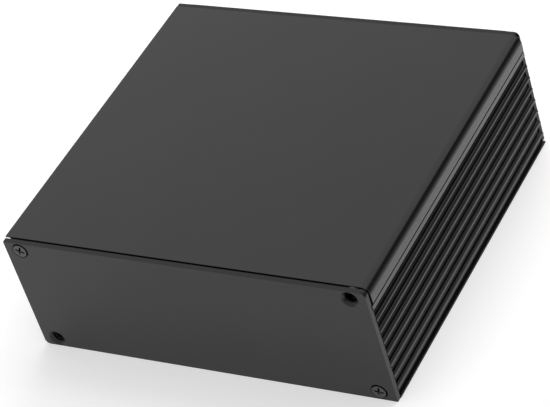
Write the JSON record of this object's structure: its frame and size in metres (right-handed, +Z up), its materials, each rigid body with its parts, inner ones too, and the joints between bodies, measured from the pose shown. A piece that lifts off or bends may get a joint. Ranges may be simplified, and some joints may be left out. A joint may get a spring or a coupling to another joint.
{
  "type": "extruded aluminium enclosure",
  "caption": "Black split-body aluminium enclosure: finned half-shells slide together along hooked seams, closed by flat end panels with countersunk screws.",
  "frame": {"origin": "under the middle of the bounding box, on the surface that the case stands on", "axes": "+X to the right seen from the front panel, along the width; the front panel faces -Y; +Z up"},
  "size_m": [0.1082, 0.1034, 0.0375],
  "materials": {
    "shell": "black anodised, satin",
    "panel": "black anodised, satin",
    "screw": "blackened, satin"
  },
  "bodies": {
    "root": {"upper_shell": "shell", "lower_shell": "shell", "front_panel": "panel", "rear_panel": "panel", "front_screw_upper": "screw", "front_screw_lower": "screw", "rear_screw_upper": "screw", "rear_screw_lower": "screw"}
  },
  "joints": []
}
